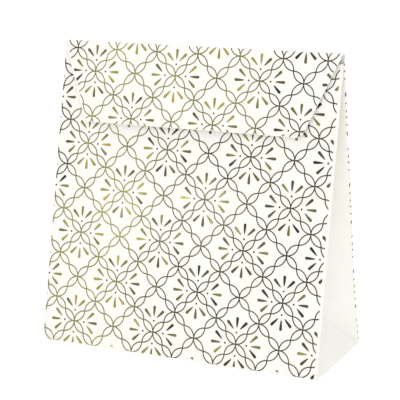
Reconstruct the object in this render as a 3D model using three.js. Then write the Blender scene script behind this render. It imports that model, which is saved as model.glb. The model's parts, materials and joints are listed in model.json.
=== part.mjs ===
// Folded paper gift bag with a fold-over flap, standing with its mouth pinched shut.
// Millimetres. +X runs across the front, +Y from front to back and +Z up, with the
// origin at the centre of the base. One folded sheet makes the body; each flat wall
// between two of its creases is a stiff panel, and so a piece of its own here.
import * as THREE from 'three';

const degree = Math.PI / 180;

// ---- driving dimensions ---------------------------------------------------------
const width = 203;               // across the front and back panels
const depth = 76;                // front to back at the base, and each gusset's width
const creaseHeight = 206;        // up the front slope, from the base to the top crease
const mouthDrop = 6.5;           // how far below the top crease the front panel ends
const frontLean = 14 * degree;   // front panel, backwards from upright
const footLean = 10.8 * degree;  // back panel below its storage crease, forwards
const paper = 0.35;              // thickness of the sheet
const gap = 0.3;                 // clearance between layers that lie on each other
const foldGap = 0.45;            // clearance from a crease to the panel beside it
const flapLength = 55;           // from the top crease to the flap's free edge
const flapTaper = 22.5;          // how far each side comes in at the free edge
const flapCorner = 3.5;          // radius of the free edge's corners
const flapStandoff = 1.7;        // from the front panel to the flap, at the crease
const flapSpread = 1.5 * degree; // the flap stands off a little more at its free edge
const baseOverlap = 18;          // how far the two long base flaps overlap
const tuckLength = 36;           // side tucks, folded in under the two long flaps
const tuckCorner = 14;           // chamfer on each tuck's free corners
const cardThickness = 1;
const cardClearance = 1.2;       // between the loose base card and the walls
const seamWidth = 13;            // glue tab that closes the sheet into a tube
const seamMargin = 2;            // the tab stops this far short of its panel's ends
const dotDiameter = 14;
const dotThickness = 0.6;
const dotDrop = 36;              // centre of the closing dots below the top crease

// ---- places that follow from them -----------------------------------------------
const layer = paper + gap;
const mouthHeight = creaseHeight - mouthDrop;
const layersAtMouth = 5;         // front, two gusset halves, seam tab and back
const mouthStack = layersAtMouth * paper + (layersAtMouth - 1) * gap;
const storageCrease = depth / 2; // level of the gusset's cross crease, set by 45° folds
const halfWidth = width / 2;
const gussetX = halfWidth - foldGap;

const vec = (x, y, z) => new THREE.Vector3(x, y, z);
const across = vec(1, 0, 0);
const upFront = vec(0, Math.sin(frontLean), Math.cos(frontLean));
const outFront = vec(0, -Math.cos(frontLean), Math.sin(frontLean));
const upFoot = vec(0, -Math.sin(footLean), Math.cos(footLean));
const outFoot = vec(0, Math.cos(footLean), Math.sin(footLean));

// A point up the front panel's outer face, moved out from it or, if negative, in.
const onFront = (x, height, out = 0) => vec(x, -depth / 2, 0)
  .addScaledVector(upFront, height).addScaledVector(outFront, out);
const onFoot = (x, height, out = 0) => vec(x, depth / 2, 0)
  .addScaledVector(upFoot, height).addScaledVector(outFoot, out);

// The back panel leans from the top of its foot to the pinched mouth.
const backFoot = onFoot(0, storageCrease);
const backMouth = onFront(0, mouthHeight, -mouthStack);
const upBack = backMouth.clone().sub(backFoot).normalize();
const outBack = vec(0, upBack.z, -upBack.y);
const backToMouth = backMouth.distanceTo(backFoot);
const onBack = (x, height, out = 0) => vec(x, backFoot.y, backFoot.z)
  .addScaledVector(upBack, height).addScaledVector(outBack, out);

// The gusset's base triangle sinks inwards until its 45° creases meet both walls.
const sinkCosine = (Math.tan(Math.PI / 4 - frontLean / 2) + Math.tan(Math.PI / 4 - footLean / 2)) / 2;
const sink = Math.acos(sinkCosine);

// ---- shapes ---------------------------------------------------------------------
// A flat sheet over 3-D corners, listed anticlockwise as seen from its outer side.
// Its mid-plane holds the corners, and it ends `inset` short of every edge.
function flatSheet(corners, inset = 0, thickness = paper) {
  const u = corners[1].clone().sub(corners[0]).normalize();
  const n = u.clone().cross(corners[2].clone().sub(corners[0])).normalize();
  const v = n.clone().cross(u);
  const flat = corners.map((corner) => {
    const offset = corner.clone().sub(corners[0]);
    return new THREE.Vector2(offset.dot(u), offset.dot(v));
  });
  const shape = new THREE.Shape(insetOutline(flat, inset));
  const geometry = new THREE.ExtrudeGeometry(shape, { depth: thickness, bevelEnabled: false });
  geometry.translate(0, 0, -thickness / 2);
  geometry.applyMatrix4(new THREE.Matrix4().makeBasis(u, v, n).setPosition(corners[0]));
  return geometry;
}

// Moves each side of a convex anticlockwise outline inwards and joins them again.
function insetOutline(points, inset) {
  const sides = points.map((point, i) => {
    const next = points[(i + 1) % points.length];
    const direction = next.clone().sub(point).normalize();
    const inward = new THREE.Vector2(-direction.y, direction.x);
    return { start: point.clone().addScaledVector(inward, inset), direction };
  });
  return sides.map((side, i) => {
    const before = sides[(i + sides.length - 1) % sides.length];
    const between = side.start.clone().sub(before.start);
    const along = between.cross(side.direction) / before.direction.cross(side.direction);
    return before.start.clone().addScaledVector(before.direction, along);
  });
}

// A curved sheet through a grid of mid-surface points, pointAt(i, j), with the outer
// side where columns (i) crossed with rows (j) points.
function curvedSheet(columns, rows, pointAt, thickness = paper) {
  const points = [];
  for (let j = 0; j <= rows; j += 1) {
    for (let i = 0; i <= columns; i += 1) points.push(pointAt(i / columns, j / rows));
  }
  const index = (i, j) => j * (columns + 1) + i;
  const clamped = (i, j) => points[index(
    Math.min(Math.max(i, 0), columns), Math.min(Math.max(j, 0), rows),
  )];
  const outer = [];
  const inner = [];
  for (let j = 0; j <= rows; j += 1) {
    for (let i = 0; i <= columns; i += 1) {
      const alongColumn = clamped(i + 1, j).clone().sub(clamped(i - 1, j));
      const alongRow = clamped(i, j + 1).clone().sub(clamped(i, j - 1));
      const normal = alongColumn.cross(alongRow).normalize();
      const point = points[index(i, j)];
      outer.push(point.clone().addScaledVector(normal, thickness / 2));
      inner.push(point.clone().addScaledVector(normal, -thickness / 2));
    }
  }
  const count = points.length;
  const faces = [];
  const quad = (a, b, c, d) => faces.push(a, b, c, a, c, d);
  for (let j = 0; j < rows; j += 1) {
    for (let i = 0; i < columns; i += 1) {
      const [a, b, c, d] = [index(i, j), index(i + 1, j), index(i + 1, j + 1), index(i, j + 1)];
      quad(a, b, c, d);
      quad(count + a, count + d, count + c, count + b);
    }
  }
  for (let i = 0; i < columns; i += 1) {
    quad(index(i, 0), count + index(i, 0), count + index(i + 1, 0), index(i + 1, 0));
    quad(index(i + 1, rows), count + index(i + 1, rows), count + index(i, rows), index(i, rows));
  }
  for (let j = 0; j < rows; j += 1) {
    quad(index(columns, j), count + index(columns, j), count + index(columns, j + 1), index(columns, j + 1));
    quad(index(0, j + 1), count + index(0, j + 1), count + index(0, j), index(0, j));
  }
  const geometry = new THREE.BufferGeometry();
  geometry.setAttribute('position', new THREE.Float32BufferAttribute(
    [...outer, ...inner].flatMap((point) => [point.x, point.y, point.z]), 3,
  ));
  geometry.setIndex(faces);
  geometry.computeVertexNormals();
  return geometry;
}

// A level sheet between two heights, from its outline in x and y.
const levelSheet = (outline, low, thickness = paper) => flatSheet(
  outline.map(([x, y]) => vec(x, y, low + thickness / 2)), 0, thickness,
);

// ---- materials ------------------------------------------------------------------
const whitePaper = { color: 0xf4f2ee, roughness: 0.62, metalness: 0 };
const printedPaper = { color: 0xf1ede0, roughness: 0.5, metalness: 0.08 };
const greyCard = { color: 0xc9c3b6, roughness: 0.85, metalness: 0 };
const clearNylon = { color: 0xe9e7e1, roughness: 0.7, metalness: 0 };

const bag = new THREE.Group();
function add(name, geometry, finish) {
  const mesh = new THREE.Mesh(geometry, new THREE.MeshStandardMaterial(finish));
  mesh.name = name;
  bag.add(mesh);
  return mesh;
}

// ---- front and back -------------------------------------------------------------
// Panels are set in by half the paper, so that their outer faces hold the sizes.
const half = paper / 2;
const frontStart = foldGap / 2;
add('front_panel', flatSheet([
  onFront(-halfWidth, frontStart, -half), onFront(halfWidth, frontStart, -half),
  onFront(halfWidth, mouthHeight, -half), onFront(-halfWidth, mouthHeight, -half),
]), printedPaper);

add('back_lower_panel', flatSheet([
  onFoot(halfWidth, frontStart, -half), onFoot(-halfWidth, frontStart, -half),
  onFoot(-halfWidth, storageCrease - gap, -half), onFoot(halfWidth, storageCrease - gap, -half),
]), printedPaper);

const backEnd = backToMouth + mouthDrop;
add('back_panel', flatSheet([
  onBack(halfWidth, gap, -half), onBack(-halfWidth, gap, -half),
  onBack(-halfWidth, backEnd, -half), onBack(halfWidth, backEnd, -half),
]), printedPaper);

// ---- closing flap ---------------------------------------------------------------
// A plate hanging in front of the mouth, full width at the crease and tapered, with
// two rounded corners. Its hinge line is midway between it and the back panel's end.
const flapDown = upFront.clone().multiplyScalar(-Math.cos(flapSpread))
  .addScaledVector(outFront, Math.sin(flapSpread));
const flapOut = outFront.clone().multiplyScalar(Math.cos(flapSpread))
  .addScaledVector(upFront, Math.sin(flapSpread));
const onFlap = (x, down, out = 0) => onFront(x, creaseHeight, flapStandoff)
  .addScaledVector(flapDown, down).addScaledVector(flapOut, out);

function flapOutline() {
  const slope = Math.atan2(flapTaper, flapLength);
  const turn = Math.PI / 2 - slope;      // angle that each rounded corner turns through
  const cut = flapCorner * Math.tan(turn / 2);
  const centreX = halfWidth - flapTaper - cut;
  const centreDown = flapLength - flapCorner;
  const corner = [];
  for (let step = 0; step <= 8; step += 1) {
    const angle = slope + turn * step / 8;
    corner.push([centreX + flapCorner * Math.cos(angle), centreDown + flapCorner * Math.sin(angle)]);
  }
  const right = [[halfWidth - gap * flapTaper / flapLength, gap], ...corner];
  return [...right.map(([x, down]) => [-x, down]), ...[...right].reverse()];
}
add('closing_flap', flatSheet(
  flapOutline().map(([x, down]) => onFlap(x, down, half)),
), printedPaper);

// ---- closing dots ---------------------------------------------------------------
// A hook-and-loop pair: the loop half on the front panel, the hook half in the flap.
function dot(centre, out) {
  const geometry = new THREE.CylinderGeometry(dotDiameter / 2, dotDiameter / 2, dotThickness, 40);
  geometry.rotateX(Math.PI / 2);
  const up = out.clone().cross(across).normalize();
  geometry.applyMatrix4(new THREE.Matrix4().makeBasis(across, up, out).setPosition(centre));
  return geometry;
}
const dotOffset = gap + dotThickness / 2;
add('loop_dot', dot(onFront(0, creaseHeight - dotDrop, dotOffset), outFront), clearNylon);
add('hook_dot', dot(onFlap(0, dotDrop, -dotOffset), flapOut), clearNylon);

// ---- gussets --------------------------------------------------------------------
// Each side panel folds inwards down its middle. Its front half hangs from the front
// panel and its rear half from the back, one layer in from each of them.
const frontEdge = (height) => onFront(gussetX, height, -half - layer);
const rearEdge = (height) => (height < storageCrease
  ? onFoot(gussetX, height, -half - layer)
  : onBack(gussetX, (height - storageCrease) * backToMouth / (mouthHeight - storageCrease), -half - 2 * layer));

// The centre crease: both halves keep half the gusset's width from its outer edges.
const crossDip = Math.atan2(
  (onFront(0, storageCrease).z + backFoot.z) / 2 - storageCrease * sinkCosine, storageCrease * Math.sin(sink),
);
const topDip = crossDip / 2;
function centreCrease(height, side) {
  const front = frontEdge(height);
  const rear = rearEdge(height);
  const middle = front.clone().add(rear).multiplyScalar(0.5);
  const spread = front.distanceTo(rear) / 2;
  const inward = Math.sqrt(Math.max(storageCrease ** 2 - spread ** 2, 0));
  const share = (height - storageCrease) / (mouthHeight - storageCrease);
  const dip = crossDip + (topDip - crossDip) * share;
  return middle.add(vec(-inward * Math.cos(dip), side * layer / 2, -inward * Math.sin(dip)));
}
const frontSide = -1;
const rearSide = 1;

function upperHalf(edge, side) {
  const low = storageCrease + foldGap;
  return curvedSheet(4, 16, (along, up) => {
    const height = low + (mouthHeight - low) * up;
    const outward = side === rearSide ? along : 1 - along;
    return centreCrease(height, side).lerp(edge(height), outward);
  });
}

const apex = vec(gussetX - storageCrease * Math.sin(sink), 0, storageCrease * sinkCosine);
const frontFoot = frontEdge(0);
const rearFoot = rearEdge(0);
const rightGusset = {
  base_triangle: flatSheet([
    vec(gussetX, -depth / 2 + layer, 0), vec(gussetX, depth / 2 - layer, 0), apex,
  ], foldGap),
  lower_front: flatSheet([frontFoot, apex, frontEdge(storageCrease)], foldGap),
  lower_rear: flatSheet([rearFoot, rearEdge(storageCrease - foldGap), apex], foldGap),
  upper_front: upperHalf(frontEdge, frontSide),
  upper_rear: upperHalf(rearEdge, rearSide),
};

// The left gusset is the right one mirrored, with its faces turned to point outwards.
function mirrored(geometry) {
  const copy = geometry.index ? geometry.toNonIndexed() : geometry.clone();
  copy.scale(-1, 1, 1);
  const position = copy.getAttribute('position');
  for (let i = 0; i < position.count; i += 3) {
    const [ax, ay, az] = [position.getX(i), position.getY(i), position.getZ(i)];
    position.setXYZ(i, position.getX(i + 1), position.getY(i + 1), position.getZ(i + 1));
    position.setXYZ(i + 1, ax, ay, az);
  }
  copy.computeVertexNormals();
  return copy;
}
for (const [panel, geometry] of Object.entries(rightGusset)) {
  add(`right_${panel}`, geometry, whitePaper);
  add(`left_${panel}`, mirrored(geometry), whitePaper);
}

// The glue tab lies on the inner face of the back panel, along its left edge.
add('seam_tab', flatSheet([
  onBack(-gussetX + seamWidth, seamMargin, -half - layer), onBack(-gussetX, seamMargin, -half - layer),
  onBack(-gussetX, backToMouth - seamMargin, -half - layer),
  onBack(-gussetX + seamWidth, backToMouth - seamMargin, -half - layer),
]), whitePaper);

// ---- base -----------------------------------------------------------------------
// Layers rise from the ground: back flap, front flap, side tucks, loose card. Each
// stops a gap short of the walls at its own height.
const insideFront = (z) => -depth / 2 + z * Math.tan(frontLean) + paper / Math.cos(frontLean) + gap;
const insideBack = (z) => depth / 2 - z * Math.tan(footLean) - paper / Math.cos(footLean) - gap;
const insideSide = (z) => gussetX - z * Math.tan(sink) - half / Math.cos(sink) - gap;

const backFlapTop = paper;
const backFlapSide = insideSide(backFlapTop);
add('base_back_flap', levelSheet([
  [-backFlapSide, -baseOverlap / 2], [backFlapSide, -baseOverlap / 2],
  [backFlapSide, insideBack(backFlapTop)], [-backFlapSide, insideBack(backFlapTop)],
], 0), whitePaper);

const frontFlapLow = layer;
const frontFlapTop = frontFlapLow + paper;
const frontFlapSide = insideSide(frontFlapTop);
add('base_front_flap', levelSheet([
  [-frontFlapSide, insideFront(frontFlapTop)], [frontFlapSide, insideFront(frontFlapTop)],
  [frontFlapSide, baseOverlap / 2], [-frontFlapSide, baseOverlap / 2],
], frontFlapLow), whitePaper);

const tuckLow = 2 * layer;
const tuckTop = tuckLow + paper;
const tuckOuter = insideSide(tuckTop);
const tuckInner = tuckOuter - tuckLength;
const [tuckFront, tuckBack] = [insideFront(tuckTop) + layer, insideBack(tuckTop) - layer];
const rightTuck = levelSheet([
  [tuckOuter, tuckFront], [tuckOuter, tuckBack],
  [tuckInner + tuckCorner, tuckBack], [tuckInner, tuckBack - tuckCorner],
  [tuckInner, tuckFront + tuckCorner], [tuckInner + tuckCorner, tuckFront],
], tuckLow);
add('base_right_tuck', rightTuck, whitePaper);
add('base_left_tuck', mirrored(rightTuck), whitePaper);

const cardLow = 3 * layer;
const cardTop = cardLow + cardThickness;
const cardSide = insideSide(cardTop) - cardClearance;
const cardFront = insideFront(cardTop) + layer + cardClearance;
const cardBack = insideBack(cardTop) - layer - cardClearance;
add('base_card', levelSheet([
  [-cardSide, cardFront], [cardSide, cardFront], [cardSide, cardBack], [-cardSide, cardBack],
], cardLow, cardThickness), greyCard);

export default bag;
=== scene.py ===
import json
import math

import bpy
import numpy as np
from mathutils import Matrix, Vector


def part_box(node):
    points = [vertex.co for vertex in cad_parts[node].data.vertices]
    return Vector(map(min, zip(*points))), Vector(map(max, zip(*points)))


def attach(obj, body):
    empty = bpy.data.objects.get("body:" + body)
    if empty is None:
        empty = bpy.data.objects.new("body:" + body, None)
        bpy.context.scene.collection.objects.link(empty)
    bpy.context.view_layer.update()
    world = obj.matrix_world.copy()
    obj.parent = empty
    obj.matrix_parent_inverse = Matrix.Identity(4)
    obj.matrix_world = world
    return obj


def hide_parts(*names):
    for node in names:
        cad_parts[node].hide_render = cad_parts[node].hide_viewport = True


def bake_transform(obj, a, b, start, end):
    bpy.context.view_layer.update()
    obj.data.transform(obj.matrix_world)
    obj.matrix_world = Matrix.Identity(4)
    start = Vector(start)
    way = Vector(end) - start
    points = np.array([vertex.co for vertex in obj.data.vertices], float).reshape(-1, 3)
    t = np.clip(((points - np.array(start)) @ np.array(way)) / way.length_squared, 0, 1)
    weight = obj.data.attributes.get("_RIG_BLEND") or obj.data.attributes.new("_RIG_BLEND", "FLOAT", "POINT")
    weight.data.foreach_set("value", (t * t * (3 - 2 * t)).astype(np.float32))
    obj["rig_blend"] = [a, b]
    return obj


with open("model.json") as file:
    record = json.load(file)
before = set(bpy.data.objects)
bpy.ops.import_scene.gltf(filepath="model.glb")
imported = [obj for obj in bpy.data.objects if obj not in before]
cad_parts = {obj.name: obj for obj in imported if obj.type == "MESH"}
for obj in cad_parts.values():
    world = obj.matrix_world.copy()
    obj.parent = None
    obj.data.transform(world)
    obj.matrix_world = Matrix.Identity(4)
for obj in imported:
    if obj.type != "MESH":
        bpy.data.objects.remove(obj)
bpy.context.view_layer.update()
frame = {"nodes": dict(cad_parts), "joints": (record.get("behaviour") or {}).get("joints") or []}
mm = 0.001


def deselectAll():
    if bpy.context.mode != "OBJECT":
        bpy.ops.object.mode_set(mode="OBJECT")
    bpy.ops.object.select_all(action="DESELECT")


def pick(piece):
    deselectAll()
    piece.select_set(True)
    bpy.context.view_layer.objects.active = piece


def editAll(piece):
    pick(piece)
    bpy.ops.object.mode_set(mode="EDIT")
    bpy.ops.mesh.select_all(action="SELECT")


def leaveEdit():
    bpy.ops.object.mode_set(mode="OBJECT")


def addedPiece(name):
    piece = bpy.context.active_object
    piece.name = name
    piece.data.name = name
    return piece


def applyPlace(piece):
    pick(piece)
    bpy.ops.object.transform_apply(location=True, rotation=True, scale=True)


def applyModifiers(piece):
    pick(piece)
    for modifier in list(piece.modifiers):
        bpy.ops.object.modifier_apply(modifier=modifier.name)


def joinPieces(pieces, name):
    deselectAll()
    for piece in pieces:
        piece.select_set(True)
    bpy.context.view_layer.objects.active = pieces[0]
    bpy.ops.object.join()
    return addedPiece(name)


def copyPiece(piece):
    twin = piece.copy()
    twin.data = piece.data.copy()
    bpy.context.scene.collection.objects.link(twin)
    return twin


def selectParts(piece, kind, wanted):
    # into edit mode with just those vertices, edges or faces selected
    editAll(piece)
    bpy.ops.mesh.select_mode(type=kind)
    bpy.ops.mesh.select_all(action="DESELECT")
    leaveEdit()
    elements = {"VERT": piece.data.vertices, "EDGE": piece.data.edges, "FACE": piece.data.polygons}[kind]
    for element in elements:
        element.select = bool(wanted(element))
    pick(piece)
    bpy.ops.object.mode_set(mode="EDIT")


def readPoints(piece):
    flat = np.zeros(len(piece.data.vertices) * 3)
    piece.data.vertices.foreach_get("co", flat)
    return flat.reshape(-1, 3)


def writePoints(piece, points):
    piece.data.vertices.foreach_set("co", points.ravel())
    piece.data.update()


def setShare(piece, name, values):
    attribute = piece.data.attributes.get(name) or piece.data.attributes.new(name, "FLOAT", "POINT")
    attribute.data.foreach_set("value", np.asarray(values, np.float32))


def getShare(piece, name):
    values = np.zeros(len(piece.data.vertices), np.float32)
    piece.data.attributes[name].data.foreach_get("value", values)
    return values


def ease(x):
    x = np.clip(x, 0, 1)
    return x * x * (3 - 2 * x)


def thicken(piece, thickness, offset, innerSlot=0):
    solid = piece.modifiers.new("thickness", "SOLIDIFY")
    solid.thickness = thickness
    solid.offset = offset
    solid.use_even_offset = False
    solid.material_offset = innerSlot
    applyModifiers(piece)


def smooth(piece, degrees=35):
    pick(piece)
    bpy.ops.object.shade_smooth_by_angle(angle=math.radians(degrees))


def nodePoints(name):
    return np.array([v.co[:] for v in frame["nodes"][name].data.vertices])


def reach(name, origin, direction, best=max):
    return best((nodePoints(name) - np.array(origin)) @ np.array(direction))


def outNormal(name, towards):
    faces = [f for f in frame["nodes"][name].data.polygons if f.normal.dot(towards) > 0.3]
    return max(faces, key=lambda f: f.area).normal.copy()


hinges = {joint["name"]: Vector(joint["pos_m"]) for joint in frame["joints"]}
toe = hinges["mouth_open"]                       # the front panel's foot, where the bag stands
crease = hinges["flap_fold"]
outFront = outNormal("front_panel", Vector((0, -1, 0)))
upFront = Vector((0, outFront.z, -outFront.y))
outFoot = outNormal("back_lower_panel", Vector((0, 1, 0)))
upFoot = Vector((0, -outFoot.z, outFoot.y))
outBack = outNormal("back_panel", Vector((0, 1, 0)))
upBack = Vector((0, -outBack.z, outBack.y))
outFlap = outNormal("closing_flap", Vector((0, -1, 0)))
downFlap = Vector((0, -outFlap.z, outFlap.y))

width = 2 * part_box("front_panel")[1].x
halfWidth = width / 2
depth = -2 * toe.y
cross = depth / 2                                # level of the storage crease
heel = Vector((0, depth / 2, 0))
paper = reach("front_panel", toe, outFront) - reach("front_panel", toe, outFront, min)
half = paper / 2
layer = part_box("base_front_flap")[0].z           # one sheet and the air above it
mouthHeight = reach("front_panel", toe, upFront)
creaseHeight = (crease - toe).dot(upFront)
mouthDrop = creaseHeight - mouthHeight
backFoot = heel + upFoot * cross
backEnd = reach("back_panel", backFoot, upBack)
backToMouth = backEnd - mouthDrop
sink = math.asin(outNormal("right_base_triangle", Vector((1, 0, 0))).z)
around = 2 * (width + depth)                     # the sheet's length once round the bag


# places on the flat pattern become places in space
folds = {
    "edgeInset": 0.45 * mm,     # the gussets start this far inside the panels' edges
    "roundness": 0.5 * mm,      # half the length of paper in each upright fold
    "creaseRoundness": 0.8 * mm,
    "bulge": 0.7 * mm,          # panels belly out a little
    "ripple": 0.16 * mm,        # and are never quite flat
    "underTurn": 1.6 * mm,      # how far the paper turns in under the base
    "apexLift": 5.5 * mm,       # slack paper holds the cross crease nearly level
    "liftFade": 60 * mm,
    "pinchStart": 26 * mm,      # the gusset's layers part this far below the cross crease
}
gussetX = halfWidth - folds["edgeInset"]


def rows(*columns):
    return np.stack(np.broadcast_arrays(*columns), axis=-1).astype(float)


def along(origin, up, out, x, height, offset):
    base = rows(x, origin[1], origin[2])
    return base + np.multiply.outer(height, np.array(up)) + np.multiply.outer(offset, np.array(out))


def onFront(x, height, offset=0.0):
    x, height, offset = np.broadcast_arrays(np.asarray(x, float), height, offset)
    return along(toe, upFront, outFront, x, height, offset)


def onBack(x, height, offset=0.0):
    x, height, offset = np.broadcast_arrays(np.asarray(x, float), height, offset)
    low = along(heel, upFoot, outFoot, x, height, offset)
    stretch = backToMouth / (mouthHeight - cross)
    risen = np.where(height > mouthHeight, backToMouth + height - mouthHeight, (height - cross) * stretch)
    high = along(backFoot, upBack, outBack, x, risen, offset)
    return np.where((height < cross)[..., None], low, high)


def belly(x, height):
    share = np.clip(height / mouthHeight, 0, 1)
    swell = folds["bulge"] * (1 - (x / halfWidth) ** 2) * np.sin(math.pi * share) ** 2
    waves = np.sin(31 * x + 47 * height) + np.sin(58 * x - 26 * height + 1.3)
    calm = (1 - (x / halfWidth) ** 4) * np.sin(math.pi * share)
    return swell + folds["ripple"] * waves * calm / 2


def centreCrease(height):
    front = onFront(gussetX, height, -half - layer)
    rear = onBack(gussetX, height, -half - layer * (1 + ease(height / cross)))
    middle = (front + rear) / 2
    spread = np.linalg.norm(front - rear, axis=-1) / 2
    inward = np.sqrt(np.maximum(cross ** 2 - spread ** 2, 0))
    crossLevel = (onFront(0, cross)[..., 2] + backFoot.z) / 2
    dip = math.atan2(float(crossLevel) - cross * math.cos(sink), cross * math.sin(sink))
    dip = dip * (1 - 0.5 * np.clip((height - cross) / (mouthHeight - cross), 0, 1))
    slack = folds["apexLift"] * ease(1 - (height - cross) / folds["liftFade"])
    return middle + rows(-inward * np.cos(dip), 0, slack - inward * np.sin(dip))


def mixed(a, b, share):
    return a + (b - a) * np.asarray(share)[..., None]


def gusset(u, height):
    # u runs from the rear edge, 0, to the front edge, which is depth
    rearEdge = onBack(gussetX, height, -half - layer * (1 + ease(height / cross)))
    frontEdge = onFront(gussetX, height, -half - layer)
    middle = centreCrease(height)
    part = rows(0, layer / 2 * ease((height - cross) / folds["pinchStart"]), 0)
    upper = np.where((u < cross)[..., None],
                     mixed(rearEdge, middle + part, u / cross),
                     mixed(frontEdge, middle - part, (depth - u) / cross))
    apex = centreCrease(np.full_like(height, cross))
    zero = np.zeros_like(height)
    frontFoot, rearFoot = onFront(gussetX, zero, -half - layer), onBack(gussetX, zero, -half - layer)
    frontKnee = onFront(gussetX, zero + cross, -half - layer)
    rearKnee = onBack(gussetX, zero + cross, -half - 2 * layer)
    share = height / cross
    foot = mixed(rearFoot, frontFoot, u / depth) + (apex - (rearFoot + frontFoot) / 2) * share[..., None]
    rearLow = mixed(rearFoot, rearKnee, share) + (apex - rearKnee) * (u / cross)[..., None]
    frontLow = mixed(frontFoot, frontKnee, share) + (apex - frontKnee) * ((depth - u) / cross)[..., None]
    lower = np.where((height < np.minimum(u, depth - u))[..., None], foot,
                     np.where((u < cross)[..., None], rearLow, frontLow))
    return np.where((height < cross)[..., None], lower, upper)


def sharpBag(s, h):
    # s runs once round from the back's left edge: back, right gusset, front, left gusset
    s = np.mod(s, around)
    height = np.maximum(h, 0)
    turn = np.clip(-h, 0, None)
    x = np.where(s < width, s - halfWidth, halfWidth - (s - width - depth))
    back = onBack(x, height, -half + belly(x, height))
    front = onFront(x, height, -half + belly(x, height))
    right = gusset(np.clip(s - width, 0, depth), height)
    left = gusset(np.clip(around - s, 0, depth), height) * np.array([-1, 1, 1])
    place = np.select([(s < width)[..., None], (s < width + depth)[..., None],
                       (s < 2 * width + depth)[..., None]], [back, right, front], left)
    place[..., 0] *= 1 - turn / halfWidth
    place[..., 1] *= 1 - turn / (depth / 2)
    place[..., 2] = np.maximum(place[..., 2], half)
    return place


def bagPlace(s, h):
    # the sharp folds are rounded by averaging over a short stretch of paper
    total = 0
    for ds, ws in zip((-1, -0.5, 0, 0.5, 1), (1, 2, 3, 2, 1)):
        for dh, wh in zip((-1, 0, 1), (1, 2, 1)):
            moved = sharpBag(s + ds * folds["roundness"], h + dh * folds["creaseRoundness"] * (h > 0))
            total = total + moved * (ws * wh / 36)
    return total


def bagShare(s, h):
    # how far each place follows the front panel as the mouth opens
    s = np.mod(s, around)
    mirrored = np.where(s >= 2 * width + depth, around - s, s - width)
    u = np.clip(mirrored, 0, depth)
    height = np.maximum(h, 1e-6)
    lowFront = 1 - (1 - height / depth) * np.clip((depth - u) / height, 0, 1)
    low = np.where(height < np.minimum(u, depth - u), height / depth,
                   np.where(u < cross, u / depth, lowFront))
    share = np.where(height < cross, low, u / depth)
    onFrontPanel = (s >= width + depth) & (s < 2 * width + depth)
    share = np.where(s < width, 0, np.where(onFrontPanel, 1, share))
    return share * ease(1 + h / (0.8 * mm))


# on the flap, v is the way along the sheet from the top crease, down the front
flap = {
    "length": 55 * mm,
    "taper": 22.3 * mm,
    "offCentre": -1.3 * mm,     # the free edge was cut a little to the left
    "corner": 3.5 * mm,
    "backTongue": 3.0 * mm,     # the flap's piece starts this far down the back
    "curlRight": 1.1 * mm,
    "curlLeft": 0.3 * mm,
    "settle": 0.028,            # away from the dots the flap leans in on the front
}


def foldCircle():
    # the paper's middle runs up the back, round a small circle and down the flap
    lines = np.array([outBack[1:], outFlap[1:]])
    levels = np.array([backFoot.dot(outBack), reach("closing_flap", (0, 0, 0), outFlap)]) - half
    still, perRadius = np.linalg.solve(lines, levels), np.linalg.solve(lines, [-1, -1])
    up = np.array(upFront[1:])
    top = creaseHeight + toe.dot(upFront)
    radius = (top - half - up @ still) / (1 + up @ perRadius)
    centre = still + radius * perRadius
    return Vector((0, *centre)), radius


foldCentre, foldRadius = foldCircle()
foldAngle = math.acos(outBack.dot(outFlap))
foldLength = foldRadius * foldAngle              # paper in the fold, half of it on each side of v = 0
backLength = (foldCentre + outBack * foldRadius - backFoot).dot(upBack) + foldLength / 2
tongueStart = backEnd - flap["backTongue"] - backLength


def flapPlace(x, v, offset=0.0):
    x, v, offset = np.broadcast_arrays(np.asarray(x, float), v, offset)
    turn = np.clip((v + foldLength / 2) / foldRadius, 0, foldAngle)
    axis = math.atan2(outBack.z, outBack.y) + turn
    out = rows(0, np.cos(axis), np.sin(axis))
    onward = rows(0, -np.sin(axis), np.cos(axis))
    before = np.minimum(v + foldLength / 2, 0)
    after = np.maximum(v - foldLength / 2, 0)
    share = np.clip(v / flap["length"], 0, 1) ** 3
    curl = np.where(x > 0, flap["curlRight"], flap["curlLeft"]) * (x / halfWidth) ** 2 * share
    aside = ease((np.abs(x) - 0.02) / 0.06)
    curl = curl - aside * flap["settle"] * np.maximum(v, 0)
    centre = rows(x, foldCentre.y, foldCentre.z)
    return centre + out * (foldRadius + curl + offset)[..., None] + onward * (before + after)[..., None]


def flapShare(v):
    return ease(v / foldLength + 0.5)


def flapSides(v):
    # left and right edge of the flap at v, rounded at the two free corners
    share = np.clip(v / flap["length"], 0, 1)
    into = np.clip(v - flap["length"] + flap["corner"], 0, flap["corner"])
    cut = flap["corner"] - np.sqrt(np.maximum(flap["corner"] ** 2 - into ** 2, 0))
    inset = flap["taper"] * share + cut
    return -halfWidth + inset + flap["offCentre"] * share, halfWidth - inset + flap["offCentre"] * share


def raised(place, a, b, out, flip=1):
    # a place on a folded sheet, moved off it along its outward normal
    step = 0.05 * mm
    da = place(a + step, b) - place(a - step, b)
    db = place(a, b + step) - place(a, b - step)
    normal = np.cross(db, da) * flip
    normal = normal / np.linalg.norm(normal, axis=-1)[..., None]
    return place(a, b) + normal * out


def nodeGroup(name, inputs, outputs):
    group = bpy.data.node_groups.new(name, "ShaderNodeTree")
    for title, kind, value in inputs:
        socket = group.interface.new_socket(name=title, in_out="INPUT", socket_type=kind)
        socket.default_value = value
    for title, kind in outputs:
        group.interface.new_socket(name=title, in_out="OUTPUT", socket_type=kind)
    return group, group.nodes.new("NodeGroupInput"), group.nodes.new("NodeGroupOutput")


def addNode(tree, kind, links=(), **values):
    node = tree.nodes.new(kind)
    for key, value in values.items():
        setattr(node, key, value)
    for socket, value in links:
        if isinstance(value, bpy.types.NodeSocket):
            tree.links.new(value, node.inputs[socket])
        else:
            node.inputs[socket].default_value = value
    return node


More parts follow.
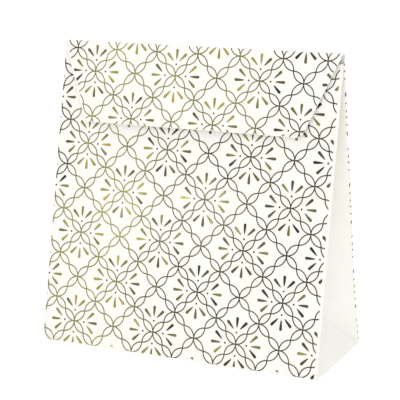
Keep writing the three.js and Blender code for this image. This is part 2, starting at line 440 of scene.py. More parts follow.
def makeGrainGroup():
    group, start, end = nodeGroup(
        "paper grain",
        [("Vector", "NodeSocketVector", (0, 0, 0)), ("Scale", "NodeSocketFloat", 900.0)],
        [("Mottle", "NodeSocketFloat"), ("Height", "NodeSocketFloat")])
    vector, scale = start.outputs["Vector"], start.outputs["Scale"]
    fine = addNode(group, "ShaderNodeTexNoise", [("Vector", vector), ("Scale", scale), ("Detail", 5.0)])
    coarseScale = addNode(group, "ShaderNodeMath", [(0, scale), (1, 0.045)], operation="MULTIPLY")
    coarse = addNode(group, "ShaderNodeTexNoise",
                     [("Vector", vector), ("Scale", coarseScale.outputs[0]), ("Detail", 3.0)])
    stretch = addNode(group, "ShaderNodeMapping", [("Vector", vector), ("Scale", (1.0, 1.0, 0.18))])
    fibre = addNode(group, "ShaderNodeTexNoise",
                    [("Vector", stretch.outputs[0]), ("Scale", scale), ("Detail", 2.0)])
    height = addNode(group, "ShaderNodeMath",
                     [(0, fine.outputs["Fac"]), (1, fibre.outputs["Fac"])], operation="ADD")
    group.links.new(coarse.outputs["Fac"], end.inputs["Mottle"])
    group.links.new(height.outputs[0], end.inputs["Height"])
    return group


def newMaterial(name):
    material = bpy.data.materials.new(name)
    material.use_nodes = True
    tree = material.node_tree
    shader = tree.nodes["Principled BSDF"]
    coordinates = tree.nodes.new("ShaderNodeTexCoord")
    return material, tree, shader, coordinates.outputs["Object"]


def ramp(tree, factor, stops):
    node = addNode(tree, "ShaderNodeValToRGB", [("Fac", factor)])
    while len(node.color_ramp.elements) < len(stops):
        node.color_ramp.elements.new(0.5)
    for element, (place, colour) in zip(node.color_ramp.elements, stops):
        element.position = place
        element.color = (*colour, 1)
    return node.outputs["Color"]


def spread(tree, value, low, high):
    node = addNode(tree, "ShaderNodeMapRange", [("Value", value), ("To Min", low), ("To Max", high)])
    return node.outputs["Result"]


def makePaper(name, grain, look):
    material, tree, shader, place = newMaterial(name)
    fibres = addNode(tree, "ShaderNodeGroup", node_tree=grain)
    tree.links.new(place, fibres.inputs["Vector"])
    fibres.inputs["Scale"].default_value = look["grainScale"]
    colour = ramp(tree, fibres.outputs["Mottle"], [(0.3, look["dark"]), (0.7, look["light"])])
    # painted shade: the paper is mixed towards a darker colour along its creases
    creaseShade = addNode(tree, "ShaderNodeAttribute", attribute_name="creaseShadeMask")
    fade = addNode(tree, "ShaderNodeMath", [(0, creaseShade.outputs["Fac"]), (1, look["creaseShadeAmount"])],
                   operation="MULTIPLY")
    mix = addNode(tree, "ShaderNodeMix", [("Factor", fade.outputs[0])], data_type="RGBA")
    tree.links.new(colour, mix.inputs["A"])
    mix.inputs["B"].default_value = (*look["creaseShadeColour"], 1)
    tree.links.new(mix.outputs["Result"], shader.inputs["Base Color"])
    rough = spread(tree, fibres.outputs["Mottle"], look["roughness"] - 0.06, look["roughness"] + 0.06)
    tree.links.new(rough, shader.inputs["Roughness"])
    bump = addNode(tree, "ShaderNodeBump", [("Height", fibres.outputs["Height"]),
                                            ("Strength", look["bump"]), ("Distance", 0.00004)])
    tree.links.new(bump.outputs["Normal"], shader.inputs["Normal"])
    shader.inputs["Specular IOR Level"].default_value = look["gloss"]
    return material


# each look's darker crease colour and its strength paint shade along the creases
paperLooks = {
    "coated": {"light": (0.945, 0.933, 0.88), "dark": (0.925, 0.911, 0.855), "creaseShadeColour": (0.8, 0.79, 0.76),
               "creaseShadeAmount": 0.15, "roughness": 0.42, "bump": 0.18, "gloss": 0.45, "grainScale": 900.0},
    "uncoated": {"light": (0.9, 0.895, 0.875), "dark": (0.86, 0.85, 0.825), "creaseShadeColour": (0.7, 0.69, 0.66),
                 "creaseShadeAmount": 0.3, "roughness": 0.72, "bump": 0.45, "gloss": 0.3, "grainScale": 700.0},
    "board": {"light": (0.6, 0.585, 0.55), "dark": (0.42, 0.405, 0.375), "creaseShadeColour": (0.7, 0.69, 0.66),
              "creaseShadeAmount": 0.3, "roughness": 0.85, "bump": 0.8, "gloss": 0.2, "grainScale": 420.0},
}
grainGroup = makeGrainGroup()
coatedPaper = makePaper("coated paper", grainGroup, paperLooks["coated"])
uncoatedPaper = makePaper("uncoated paper", grainGroup, paperLooks["uncoated"])
greyBoard = makePaper("grey board", grainGroup, paperLooks["board"])

foilLook = {
    "dark": (0.05, 0.047, 0.035),
    "shade": (0.11, 0.105, 0.06),
    "olive": (0.255, 0.25, 0.09),
    "gold": (0.42, 0.405, 0.125),
    "orange": (0.56, 0.36, 0.10),
    "turnAt": -0.03,            # painted reflection: bright foil gives way to dark foil here, across the bag
    "turnWidth": 0.035,
    # how much the painted reflection brightens the foil
    "shine": 0.42,
    "patchScale": 34.0,
    "roughness": 0.19,
}


def makeFoil():
    material, tree, shader, place = newMaterial("gold foil")
    patches = addNode(tree, "ShaderNodeTexNoise", [("Vector", place), ("Scale", foilLook["patchScale"]),
                                                   ("Detail", 3.0), ("Roughness", 0.65)])
    axes = addNode(tree, "ShaderNodeSeparateXYZ", [("Vector", place)])
    # painted reflection: the foil is coloured brighter on the bag's left and darker on its right
    side = addNode(tree, "ShaderNodeMapRange", [
        ("Value", axes.outputs["X"]), ("From Min", foilLook["turnAt"] - foilLook["turnWidth"]),
        ("From Max", foilLook["turnAt"] + foilLook["turnWidth"]), ("To Min", foilLook["shine"]),
        ("To Max", 0.0)], interpolation_type="SMOOTHSTEP")
    # painted reflection: the foil is darkened along the bag's upper left edge
    edge = addNode(tree, "ShaderNodeMapRange", [
        ("Value", axes.outputs["X"]), ("From Min", -0.096), ("From Max", -0.08),
        ("To Min", -0.45), ("To Max", 0.0)], interpolation_type="SMOOTHSTEP")
    high = addNode(tree, "ShaderNodeMapRange", [
        ("Value", axes.outputs["Z"]), ("From Min", 0.08), ("From Max", 0.13)],
        interpolation_type="SMOOTHSTEP")
    corner = addNode(tree, "ShaderNodeMath", [(0, edge.outputs["Result"]), (1, high.outputs["Result"])],
                     operation="MULTIPLY")
    uneven = spread(tree, patches.outputs["Fac"], -0.22, 0.5)
    # each drop's own tone, and on the flap a painted reflection band
    tone = addNode(tree, "ShaderNodeAttribute", attribute_name="foilToneAndReflection")
    total = uneven
    for term in (side.outputs["Result"], corner.outputs[0], tone.outputs["Fac"]):
        total = addNode(tree, "ShaderNodeMath", [(0, total), (1, term)], operation="ADD").outputs[0]
    colour = ramp(tree, total, [
        (0.0, foilLook["dark"]), (0.2, foilLook["shade"]), (0.5, foilLook["olive"]),
        (0.72, foilLook["gold"]), (0.98, foilLook["orange"])])
    tree.links.new(colour, shader.inputs["Base Color"])
    shader.inputs["Metallic"].default_value = 1.0
    rough = spread(tree, patches.outputs["Fac"], foilLook["roughness"] - 0.06, foilLook["roughness"] + 0.1)
    tree.links.new(rough, shader.inputs["Roughness"])
    dents = addNode(tree, "ShaderNodeTexNoise", [("Vector", place), ("Scale", 380.0), ("Detail", 3.0)])
    bump = addNode(tree, "ShaderNodeBump", [("Height", dents.outputs["Fac"]), ("Strength", 0.3),
                                            ("Distance", 0.0001)])
    tree.links.new(bump.outputs["Normal"], shader.inputs["Normal"])
    return material


goldFoil = makeFoil()
print("materials made")


# the body is one blank, cut, folded and thickened
body = {
    "panelColumns": 26,
    "gussetColumns": 20,        # even, so that the 45 degree creases run through its points
    "upperRows": 34,
    "creaseShadeWidth": 1.4 * mm,       # how far the painted shade of a crease reaches onto the paper beside it
}


def between(first, last, count):
    # stations across one panel, close together beside its two folds
    soft = folds["roundness"]
    return [first, first + soft / 2, first + soft,
            *np.linspace(first, last, count + 1)[1:-1], last - soft, last - soft / 2]


def bodyStations():
    sides = [(0, width, body["panelColumns"]),
             (width, width + cross, body["gussetColumns"]),
             (width + cross, width + depth, body["gussetColumns"]),
             (width + depth, 2 * width + depth, body["panelColumns"]),
             (2 * width + depth, 2 * width + depth + cross, body["gussetColumns"]),
             (2 * width + depth + cross, around, body["gussetColumns"])]
    across = [s for side in sides for s in between(*side)] + [around]
    soft, turn = folds["creaseRoundness"], folds["underTurn"]
    low = [-turn, -turn * 0.7, -turn * 0.4, 0, *np.linspace(0, cross, body["gussetColumns"] + 1)[1:-1]]
    middle = [cross - soft, cross - soft / 2, cross, cross + soft / 2, cross + soft]
    high = [*np.linspace(cross, mouthHeight, body["upperRows"] + 1)[1:]]
    top = [mouthHeight + mouthDrop * share for share in (0.3, 0.6)] + [bodyTop]
    return np.array(across), np.array(sorted({*low, *middle, *high, *top}))


def creaseShading(s, h):
    # painted crease shade: 1 on a crease of the pattern and 0 beside it
    s = np.mod(s, around)
    u = np.where(s >= 2 * width + depth, around - s, s - width)
    inGusset = (u >= 0) & (u <= depth)
    lines = [np.abs(h), np.where(s < width + depth, np.abs(h - cross), 1)]
    lines += [np.abs(s - edge) for edge in (0, width, width + depth, 2 * width + depth, around)]
    far = np.where(inGusset, 0, 1)
    lines += [np.abs(u - cross) + far, np.abs(h - cross) + far]
    lines += [np.abs(h - np.minimum(u, depth - u)) / 1.4 + far + (h > cross)]
    return np.clip(1 - np.min(lines, axis=0) / body["creaseShadeWidth"], 0, 1)


bodyTop = mouthHeight + mouthDrop - flap["backTongue"]      # the back runs on into the flap's piece


def makeBody():
    across, upwards = bodyStations()
    columns, levels = len(across), len(upwards)
    deselectAll()
    bpy.ops.mesh.primitive_grid_add(x_subdivisions=columns - 1, y_subdivisions=levels - 1, size=1)
    piece = addedPiece("bag_body")
    flat = readPoints(piece)
    i = np.rint((flat[:, 0] + 0.5) * (columns - 1)).astype(int)
    j = np.rint((flat[:, 1] + 0.5) * (levels - 1)).astype(int)
    s, h = across[i], upwards[j]
    writePoints(piece, rows(s, h, 0 * s))
    # the blank is cut at the mouth: only the back runs on up to the top crease
    selectParts(piece, "FACE", lambda face: face.center.y > mouthHeight and face.center.x > width)
    bpy.ops.mesh.delete(type="FACE")
    leaveEdit()
    flat = readPoints(piece)
    s, h = flat[:, 0], flat[:, 1]
    setShare(piece, "frontShare", bagShare(np.minimum(s, around - 1e-7), h))
    # painted shade along the body's creases
    setShare(piece, "creaseShadeMask", creaseShading(s, h))
    writePoints(piece, bagPlace(s, h))
    editAll(piece)
    bpy.ops.mesh.select_mode(type="VERT")
    bpy.ops.mesh.select_all(action="SELECT")
    bpy.ops.mesh.remove_doubles(threshold=0.01 * mm)
    bpy.ops.mesh.flip_normals()
    leaveEdit()
    piece.data.materials.append(coatedPaper)
    piece.data.materials.append(uncoatedPaper)
    thicken(piece, paper, 0, innerSlot=1)
    smooth(piece)
    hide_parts("front_panel", "back_panel", "back_lower_panel",
                *[side + part for side in ("left_", "right_")
                  for part in ("base_triangle", "lower_front", "lower_rear", "upper_front", "upper_rear")])
    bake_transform(piece, "shell", "front_wall", start=toe, end=toe + upFront * mouthHeight)
    setShare(piece, "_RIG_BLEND", getShare(piece, "frontShare"))
    return piece


bagBody = makeBody()
print("bag body folded:", len(bagBody.data.polygons), "faces")


flapScores = np.arange(4 * mm, 50 * mm, 2 * mm)  # rows across the flap, where its bend is gentle


def makeFlap():
    fold = foldLength / 2
    level = sorted({tongueStart, *np.linspace(-fold, fold, 13), *flapScores, *(
        flap["length"] - flap["corner"] * (1 - math.sin(math.radians(turn))) for turn in range(0, 91, 10))})
    columns, levels = 48, len(level)
    deselectAll()
    bpy.ops.mesh.primitive_grid_add(x_subdivisions=columns, y_subdivisions=levels - 1, size=1)
    piece = addedPiece("closing_flap_sheet")
    flat = readPoints(piece)
    v = np.array(level)[np.rint((flat[:, 1] + 0.5) * (levels - 1)).astype(int)]
    left, right = flapSides(v)
    x = left + (right - left) * (flat[:, 0] + 0.5)
    setShare(piece, "flapShare", flapShare(v))
    # painted shade along the flap's top crease
    setShare(piece, "creaseShadeMask", np.clip(1.5 - np.abs(v) / fold, 0, 1))
    writePoints(piece, flapPlace(x, v))
    editAll(piece)
    bpy.ops.mesh.flip_normals()
    leaveEdit()
    piece.data.materials.append(coatedPaper)
    piece.data.materials.append(uncoatedPaper)
    thicken(piece, paper, 0, innerSlot=1)
    smooth(piece)
    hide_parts("closing_flap")
    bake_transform(piece, "shell", "flap", start=crease, end=crease + downFlap * flap["length"])
    setShare(piece, "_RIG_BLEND", getShare(piece, "flapShare"))
    return piece


makeFlap()
print("flap folded")


# one flower and one starburst are modelled once and repeated on a lattice
foil = {
    "pitch": 15.16 * mm,         # between lattice points, across and up
    "line": 0.78 * mm,
    "arcVertices": 36,           # round a full circle
    "dotDiameter": 1.3 * mm,
    "dropStart": 0.2,           # of the pitch, out from the dot
    "dropEnd": 0.67,
    "dropWidth": 0.128,
    "dropAngle": 44.0,
    "frontFirst": (1.570, 4.560),    # of the pitch: a flower, in from the left and below the crease
    "flapFirst": (1.734, 1.363),
    "thickness": 0.035 * mm,
    "off": 0.02 * mm,
    "wrap": 0.42 * mm,            # the print runs on round one edge of each panel
    "margin": 2.2 * mm,          # and stops this short of the other
    "footMargin": 0.1 * mm,
}


def bisectAway(piece, point, normal):
    editAll(piece)
    bpy.ops.mesh.bisect(plane_co=point, plane_no=Vector(normal).normalized(), clear_outer=True,
                        threshold=0.001 * mm)
    leaveEdit()


def scoreAcross(piece, places, normal):
    # extra cuts, so that flat shapes can follow a fold
    for place in places:
        editAll(piece)
        bpy.ops.mesh.bisect(plane_co=Vector(normal) * place, plane_no=normal, threshold=0.001 * mm)
        leaveEdit()


def makeFlower():
    # a quarter arc, cut where its neighbours begin, then turned and mirrored into four petals
    pitch, line = foil["pitch"], foil["line"]
    radius = pitch / 2
    rings = []
    for size in (radius - line / 2, radius + line / 2):
        deselectAll()
        bpy.ops.mesh.primitive_circle_add(vertices=foil["arcVertices"], radius=size, location=(radius, 0, 0))
        rings.append(addedPiece("ring"))
    strip = joinPieces(rings, "petal edge")
    editAll(strip)
    bpy.ops.mesh.bridge_edge_loops()
    leaveEdit()
    applyPlace(strip)
    bisectAway(strip, (0, 0, 0), (1, -1, 0))
    bisectAway(strip, (0, 0, 0), (-1, 0, 0))
    bisectAway(strip, (radius, radius, 0), (1, 1, 0))
    other = copyPiece(strip)
    pick(other)
    other.rotation_euler = (0, 0, -math.pi / 2)
    applyPlace(other)
    flower = joinPieces([strip, other], "flower")
    mirror = flower.modifiers.new("mirror", "MIRROR")
    mirror.use_axis = (True, True, False)
    mirror.merge_threshold = 0.01 * mm
    applyModifiers(flower)
    return flower


def makeDrop(angle):
    # a disc pulled out to a point on the side that faces the dot
    pitch = foil["pitch"]
    radius = foil["dropWidth"] * pitch / 2
    centre = foil["dropEnd"] * pitch - radius
    deselectAll()
    bpy.ops.mesh.primitive_circle_add(vertices=16, radius=radius, fill_type="NGON", location=(0, 0, 0))
    drop = addedPiece("drop")
    points = readPoints(drop)
    tail = points[:, 0] < 0
    pull = (centre - foil["dropStart"] * pitch) / radius
    points[tail, 1] *= 1 + 0.25 * points[tail, 0] / radius
    points[tail, 0] *= pull
    points[:, 0] += centre
    writePoints(drop, points)
    drop.rotation_euler = (0, 0, math.radians(angle))
    applyPlace(drop)
    return drop


def makeStarburst():
    pitch = foil["pitch"]
    parts = [makeDrop(angle) for angle in (-foil["dropAngle"], 0, foil["dropAngle"])]
    deselectAll()
    bpy.ops.mesh.primitive_circle_add(vertices=10, radius=foil["dotDiameter"] / 2, fill_type="NGON")
    parts.append(addedPiece("dot"))
    spray = joinPieces(parts, "spray")
    spray.location.x = pitch / 2
    applyPlace(spray)
    sprays = [spray]
    for quarter in (1, 2, 3):
        twin = copyPiece(spray)
        twin.rotation_euler = (0, 0, quarter * math.pi / 2)
        applyPlace(twin)
        sprays.append(twin)
    return joinPieces(sprays, "starburst")


def repeated(piece, diagonal, sideways, count):
    # copies along a diagonal, then the whole diagonal again and again sideways
    pitch = foil["pitch"]
    for label, step in (("diagonal", (diagonal, diagonal, 0)), ("sideways", (sideways, 0, 0))):
        array = piece.modifiers.new(label, "ARRAY")
        array.use_relative_offset = False
        array.use_constant_offset = True
        array.constant_offset_displace = Vector(step) * pitch
        array.count = count
        array.use_merge_vertices = label == "diagonal" and diagonal == 1
        array.merge_threshold = 0.01 * mm
    applyModifiers(piece)


def makeLattice(first, low, high, name):
    # flat print over a rectangle, with a flower at first; low and high are its corners
    pitch = foil["pitch"]
    flowers, bursts = makeFlower(), makeStarburst()
    repeated(flowers, 1, 2, 19)
    repeated(bursts, 2, 4, 10)
    for piece in (flowers, bursts):
        points = readPoints(piece)
        points[:, 0] += first[0] - 22 * pitch
        points[:, 1] += first[1] - 10 * pitch
        writePoints(piece, points)
    setShare(flowers, "foilToneAndReflection", np.zeros(len(flowers.data.vertices)))
    setShare(bursts, "foilToneAndReflection", dropTones(bursts))
    lattice = joinPieces([flowers, bursts], name)
    bisectAway(lattice, (low[0], 0, 0), (-1, 0, 0))
    bisectAway(lattice, (high[0], 0, 0), (1, 0, 0))
    bisectAway(lattice, (0, low[1], 0), (0, -1, 0))
    bisectAway(lattice, (0, high[1], 0), (0, 1, 0))
    editAll(lattice)
    bpy.ops.mesh.remove_doubles(threshold=0.01 * mm)
    leaveEdit()
    return lattice


def dropTones(piece):
    # every drop and dot takes a tone of its own from where it is
    tones = np.zeros(len(piece.data.vertices))
    points = readPoints(piece)
    for face in piece.data.polygons:
        members = list(face.vertices)
        x, y = points[members, 0].mean() / mm, points[members, 1].mean() / mm
        swing = math.sin(x * 1.7 + y * 0.9) * math.sin(x * 0.6 - y * 1.3)
        tones[members] = 0.08 + 0.32 * swing if len(members) > 10 else -0.4
    return tones


def stickOn(lattice, place, share, bodies, flip=1):
    flat = readPoints(lattice)
    a, b = flat[:, 0], flat[:, 1]
    setShare(lattice, "share", share(a, b))
    writePoints(lattice, raised(place, a, b, half + foil["off"], flip))
    thicken(lattice, foil["thickness"], 1)
    lattice.data.materials.clear()
    lattice.data.materials.append(goldFoil)
    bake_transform(lattice, *bodies, start=toe, end=crease)
    setShare(lattice, "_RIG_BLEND", getShare(lattice, "share"))


def makeFrontFoil():
    # drawn as seen from the front, then turned to the sheet's own direction
    pitch = foil["pitch"]
    first = (-halfWidth + foil["frontFirst"][0] * pitch, creaseHeight - foil["frontFirst"][1] * pitch)
    low = (-halfWidth - foil["wrap"], foil["footMargin"])
    high = (halfWidth - foil["margin"], mouthHeight - 0.1 * mm)
    lattice = makeLattice(first, low, high, "front_foil")
    soft = folds["roundness"]
    scoreAcross(lattice, [-halfWidth - soft, -halfWidth - soft / 2, -halfWidth, -halfWidth + soft / 2,
                          -halfWidth + soft], (1, 0, 0))
    stickOn(lattice, lambda x, h: bagPlace(width + depth + halfWidth - x, h),
            lambda x, h: bagShare(width + depth + halfWidth - x, h), ("shell", "front_wall"), -1)
    return lattice


def backLevel(v):
    # level on the body's pattern of a place v above the crease, along the back
    height = backLength + v
    stretch = (mouthHeight - cross) / backToMouth
    return np.where(height > backToMouth, mouthHeight + height - backToMouth,
                    np.where(height > 0, cross + height * stretch, cross + height))


def makeBackFoil():
    pitch = foil["pitch"]
    first = (-halfWidth + foil["flapFirst"][0] * pitch, foil["flapFirst"][1] * pitch - 8 * pitch)
    low = (-halfWidth + foil["margin"], -backLength - cross + foil["footMargin"])
    high = (halfWidth + foil["wrap"], tongueStart)
    lattice = makeLattice(first, low, high, "back_foil")
    soft, turn = folds["roundness"], folds["creaseRoundness"]
    scoreAcross(lattice, [halfWidth - soft, halfWidth - soft / 2, halfWidth, halfWidth + soft / 2,
                          halfWidth + soft], (1, 0, 0))
    scoreAcross(lattice, [-backLength - turn, -backLength, -backLength + turn], (0, 1, 0))
    stickOn(lattice, lambda x, v: bagPlace(x + halfWidth, backLevel(v)),
            lambda x, v: bagShare(x + halfWidth, backLevel(v)), ("shell", "front_wall"))
    return lattice


def makeFlapFoil():
    pitch, length, taper = foil["pitch"], flap["length"], flap["taper"]
    first = (-halfWidth + foil["flapFirst"][0] * pitch, foil["flapFirst"][1] * pitch)
    low, high = (-halfWidth + 1.2 * mm, tongueStart), (halfWidth, length - 0.25 * mm)
    lattice = makeLattice(first, low, high, "flap_foil")
    scoreAcross(lattice, [*np.linspace(-foldLength / 2, foldLength / 2, 13), *flapScores[:15:2]], (0, 1, 0))
    points = readPoints(lattice)
    # painted reflection: a band in the middle of the flap's foil is made brighter
    paintedReflectionBand = ease((points[:, 0] + 0.06) / 0.05) * (1 - ease((points[:, 0] - 0.03) / 0.04))
    setShare(lattice, "foilToneAndReflection", getShare(lattice, "foilToneAndReflection") + 0.8 * foilLook["shine"] * paintedReflectionBand)
    leftSlope, rightSlope = taper + flap["offCentre"], taper - flap["offCentre"]
    leftEdge, rightEdge = -halfWidth + 1.3 * mm, halfWidth - 0.2 * mm
    bisectAway(lattice, (leftEdge, 0, 0), (-length, leftSlope, 0))
    bisectAway(lattice, (rightEdge, 0, 0), (length, rightSlope, 0))
    for side, edge, slope in ((-1, leftEdge + leftSlope, leftSlope), (1, rightEdge - rightSlope, rightSlope)):
        for lean, cut in ((0.75, 1.35 * mm), (0.3, 1.1 * mm)):
            bisectAway(lattice, (edge, length - cut, 0), (side * lean, 1, 0))
    stickOn(lattice, lambda x, v: flapPlace(x, v), lambda x, v: flapShare(v), ("shell", "flap"))
    return lattice


frontFoil = makeFrontFoil()
backFoil = makeBackFoil()
flapFoil = makeFlapFoil()
print("foil laid:", [len(p.data.polygons) for p in (frontFoil, backFoil, flapFoil)])


base = {
    "ringGap": 0.15 * mm,       # between the turned-in foot and the flaps inside it
    "stepWidth": 4.0 * mm,      # the front flap climbs over the back one in this length
    "tuckCorner": 14 * mm,
    "cardCorner": 2.5 * mm,
    "cardEdge": 0.18 * mm,
    "tabWidth": 13 * mm,
    "tabMargin": 2 * mm,
}


def makeGrid(name, columns, levels):
    # a flat sheet of points, given as shares from 0 to 1 across and along
    deselectAll()
    bpy.ops.mesh.primitive_grid_add(x_subdivisions=columns, y_subdivisions=levels, size=1)
    piece = addedPiece(name)
    points = readPoints(piece)
    return piece, points[:, 0] + 0.5, points[:, 1] + 0.5


def finishSheet(piece, node):
    piece.data.materials.append(uncoatedPaper)
    thicken(piece, paper, 0)
    smooth(piece)
    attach(piece, "shell")
    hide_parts(node)


def makeBaseFlaps():
    inside = halfWidth - folds["edgeInset"] - folds["underTurn"] - base["ringGap"]
    reachIn = depth / 2 - folds["underTurn"] - base["ringGap"]
    for node, edge, far in (("base_back_flap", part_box("base_back_flap")[0].y, reachIn),
                            ("base_front_flap", -reachIn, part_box("base_front_flap")[1].y)):
        piece, a, b = makeGrid(node + "_sheet", 30, 40)
        x, y = (a * 2 - 1) * inside, edge + (far - edge) * b
        z = half + 0 * y
        if node == "base_front_flap":
            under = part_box("base_back_flap")[0].y
            z = z + layer * ease((y - under + 1.5 * base["stepWidth"]) / base["stepWidth"])
        writePoints(piece, rows(x, y, z))
        finishSheet(piece, node)


def makeTucks():
    for side in ("left", "right"):
        low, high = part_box("base_" + side + "_tuck")
        middle, size = (low + high) / 2, high - low
        deselectAll()
        bpy.ops.mesh.primitive_plane_add(size=1, location=middle)
        piece = addedPiece(side + "_tuck_sheet")
        piece.scale = (size.x, size.y, 1)
        applyPlace(piece)
        selectParts(piece, "VERT", lambda vertex: abs(vertex.co.x) < abs(middle.x))
        bpy.ops.mesh.bevel(offset=base["tuckCorner"], segments=10, affect="VERTICES")
        leaveEdit()
        finishSheet(piece, "base_" + side + "_tuck")


def makeCard():
    low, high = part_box("base_card")
    deselectAll()
    bpy.ops.mesh.primitive_cube_add(size=1, location=(low + high) / 2)
    piece = addedPiece("card_board")
    piece.scale = high - low
    applyPlace(piece)
    corner = piece.data.vertices
    selectParts(piece, "EDGE", lambda edge: abs(corner[edge.vertices[0]].co.z - corner[edge.vertices[1]].co.z)
                > 0.5 * mm)
    bpy.ops.mesh.bevel(offset=base["cardCorner"], segments=6)
    bpy.ops.mesh.select_all(action="DESELECT")
    leaveEdit()
    rim = piece.modifiers.new("rim", "BEVEL")
    rim.width = base["cardEdge"]
    rim.segments = 2
    rim.limit_method = "ANGLE"
    rim.angle_limit = math.radians(50)
    applyModifiers(piece)
    piece.data.materials.append(greyBoard)
    smooth(piece)
    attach(piece, "shell")
    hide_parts("base_card")


def makeSeamTab():
    piece, a, b = makeGrid("seam_tab_sheet", 8, 60)
    margin = base["tabMargin"]
    x = -gussetX + base["tabWidth"] * a
    height = cross + margin + (mouthHeight - cross - 2 * margin) * b
    writePoints(piece, onBack(x, height, belly(x, height) - half - layer))
    finishSheet(piece, "seam_tab")


makeBaseFlaps()
makeTucks()
makeCard()
makeSeamTab()
print("base and seam made")


dots = {
    "backing": 0.28 * mm,
    "rim": 0.08 * mm,
    "tuftPitch": 0.85 * mm,
    "tuftRadius": 0.22 * mm,
    "edgeLeft": 0.7 * mm,       # of plain backing round the tufts
}


def makeTape():
    material, tree, shader, place = newMaterial("dot tape")
    fibres = addNode(tree, "ShaderNodeGroup", node_tree=grainGroup)
    tree.links.new(place, fibres.inputs["Vector"])
    fibres.inputs["Scale"].default_value = 1600.0
    colour = ramp(tree, fibres.outputs["Mottle"], [(0.3, (0.78, 0.78, 0.77)), (0.7, (0.88, 0.88, 0.87))])
    tree.links.new(colour, shader.inputs["Base Color"])
    shader.inputs["Roughness"].default_value = 0.5
    bump = addNode(tree, "ShaderNodeBump", [("Height", fibres.outputs["Height"]), ("Strength", 0.6),
                                            ("Distance", 0.0001)])
    tree.links.new(bump.outputs["Normal"], shader.inputs["Normal"])
    return material


tapeMaterial = makeTape()


def makeDot(node, name, out, bodyName, pointed, lift=0.0):
    points = nodePoints(node)
    along = points @ np.array(out)
    thickness, radius = along.max() - along.min(), (points[:, 0].max() - points[:, 0].min()) / 2
    foot = Vector(points.mean(axis=0)) - Vector(out) * (thickness / 2 - lift)
    deselectAll()
    bpy.ops.mesh.primitive_cylinder_add(vertices=64, radius=radius, depth=dots["backing"],
                                        location=(0, 0, dots["backing"] / 2))
    disc = addedPiece(name)
    applyPlace(disc)
    rim = disc.modifiers.new("rim", "BEVEL")
    rim.width, rim.segments, rim.limit_method = dots["rim"], 2, "ANGLE"
    applyModifiers(disc)
    pitch, across = dots["tuftPitch"], int(2 * radius / dots["tuftPitch"]) // 2
    tall = thickness - dots["backing"] * 0.9
    deselectAll()
    bpy.ops.mesh.primitive_cone_add(vertices=6, radius1=dots["tuftRadius"] * (0.7 if pointed else 1),
                                    radius2=dots["tuftRadius"] * (0.9 if pointed else 0.45), depth=tall,
                                    location=(-across * pitch, -across * pitch, thickness - tall / 2))
    tufts = addedPiece("tufts")
    applyPlace(tufts)
    for label, step in (("across", (pitch, 0, 0)), ("up", (0, pitch, 0))):
        array = tufts.modifiers.new(label, "ARRAY")
        array.use_relative_offset, array.use_constant_offset = False, True
        array.constant_offset_displace = step
        array.count = 2 * across + 1
    applyModifiers(tufts)
    limit = radius - dots["edgeLeft"]
    selectParts(tufts, "VERT", lambda vertex: math.hypot(
        *(round(c / pitch) * pitch for c in vertex.co[:2])) > limit)
    bpy.ops.mesh.delete(type="VERT")
    leaveEdit()
    dot = joinPieces([disc, tufts], name)
    turn = Vector(out).to_track_quat("Z", "Y").to_matrix()
    local = readPoints(dot)
    writePoints(dot, local @ np.array(turn).T + np.array(foot))
    dot.data.materials.clear()
    dot.data.materials.append(tapeMaterial)
    smooth(dot)
    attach(dot, bodyName)
    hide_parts(node)


loopHeight = (nodePoints("loop_dot").mean(axis=0) - np.array(toe)) @ np.array(upFront)
makeDot("loop_dot", "loop_dot_pad", outFront, "front_wall", False, float(belly(0, loopHeight)) - 0.02 * mm)
makeDot("hook_dot", "hook_dot_pad", -outFlap, "flap", True)
print("dots made")


studio = {
    "lens": 134.35,
    "azimuth": 26.81,
    "elevation": 14.76,
    "roll": -1.567,
    "distance": 989.5 * mm,
    "target": (3.4 * mm, 0, 99.25 * mm),
    "skyLight": 0.885,
    "glint": 0.17,
    "key": {"place": (0.5, -1.75, 0.75), "size": (0.6, 0.6), "power": 2.4},
    "top": {"place": (0.25, -0.1, 1.35), "size": (0.8, 0.8), "power": 2.4},
    "lampAim": (0, 0, 0.1),
    "floorGlow": 0.2,           # keeps the floor white, so that shadows hardly show
    "darkSide": 0.68,           # the sky is dimmer on the gusset's side
}


def makeCamera():
    azimuth, elevation, roll = (math.radians(studio[k]) for k in ("azimuth", "elevation", "roll"))
    back = Vector((math.sin(azimuth) * math.cos(elevation), -math.cos(azimuth) * math.cos(elevation),
                   math.sin(elevation)))
    level = Vector((0, 0, 1)).cross(back).normalized()
    upright = back.cross(level)
    right = level * math.cos(roll) + upright * math.sin(roll)
    up = upright * math.cos(roll) - level * math.sin(roll)
    bpy.ops.object.camera_add(location=Vector(studio["target"]) + back * studio["distance"])
    camera = bpy.context.active_object
    camera.name = "camera"
    camera.rotation_mode = "QUATERNION"
    camera.rotation_quaternion = Matrix((right, up, back)).transposed().to_quaternion()
    camera.data.lens = studio["lens"]
    camera.data.sensor_width = 36
    camera.data.clip_end = 20
    bpy.context.scene.camera = camera


def makeFloor():
    deselectAll()
    bpy.ops.mesh.primitive_plane_add(size=40, location=(0, 0, -0.05 * mm))
    floor = addedPiece("floor")
    material, tree, shader, place = newMaterial("studio floor")
    shader.inputs["Base Color"].default_value = (0.95, 0.95, 0.95, 1)
    shader.inputs["Roughness"].default_value = 0.9
    shader.inputs["Specular IOR Level"].default_value = 0.1
    shader.inputs["Emission Color"].default_value = (1, 1, 1, 1)
    shader.inputs["Emission Strength"].default_value = studio["floorGlow"]
    floor.data.materials.append(material)


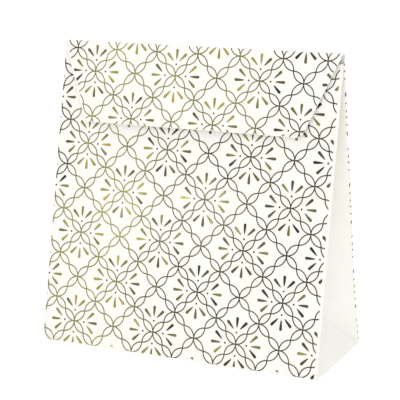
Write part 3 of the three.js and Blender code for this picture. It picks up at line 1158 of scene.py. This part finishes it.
def softBox(name, place, aim, size, power):
    bpy.ops.object.light_add(type="AREA", location=place)
    light = bpy.context.active_object
    light.name = name
    light.data.shape = "RECTANGLE"
    light.data.size, light.data.size_y = size
    light.data.energy = power
    light.rotation_mode = "QUATERNION"
    light.rotation_quaternion = (Vector(place) - Vector(aim)).to_track_quat("Z", "Y")


def addLamp(name):
    lamp = studio[name]
    softBox(name, lamp["place"], studio["lampAim"], lamp["size"], lamp["power"])


def addGlint():
    # a small lamp where the front panel mirrors it towards the camera at one place
    point = Vector(onFront(14 * mm, 100 * mm).tolist())
    seen = (bpy.context.scene.camera.location - point).normalized()
    mirrored = 2 * seen.dot(outFront) * outFront - seen
    softBox("glint", point + mirrored * 1.2, point, (0.055, 0.05), studio["glint"])


def makeLights():
    world = bpy.data.worlds.new("studio")
    bpy.context.scene.world = world
    world.use_nodes = True
    background = world.node_tree.nodes["Background"]
    background.inputs["Color"].default_value = (1, 1, 1, 1)
    direction = world.node_tree.nodes.new("ShaderNodeTexCoord")
    parts = addNode(world.node_tree, "ShaderNodeSeparateXYZ", [("Vector", direction.outputs["Generated"])])
    dimmer = addNode(world.node_tree, "ShaderNodeMapRange", [
        ("Value", parts.outputs["X"]), ("From Min", 0.1), ("From Max", 0.9),
        ("To Min", studio["skyLight"]), ("To Max", studio["darkSide"])], interpolation_type="SMOOTHSTEP")
    zenith = addNode(world.node_tree, "ShaderNodeMapRange", [
        ("Value", parts.outputs["Z"]), ("From Min", 0.15), ("From Max", 0.65)],
        interpolation_type="SMOOTHSTEP")
    sky = addNode(world.node_tree, "ShaderNodeMix", [
        ("Factor", zenith.outputs["Result"]), ("A", dimmer.outputs["Result"]), ("B", studio["skyLight"])])
    world.node_tree.links.new(sky.outputs["Result"], background.inputs["Strength"])
    addLamp("key")
    addGlint()
    addLamp("top")
    bpy.context.scene.view_settings.view_transform = "Standard"
    bpy.context.scene.view_settings.look = "None"


makeCamera()
makeFloor()
makeLights()
print("studio set", "fold radius", round(foldRadius / mm, 3), "back length", round(backLength / mm, 2))
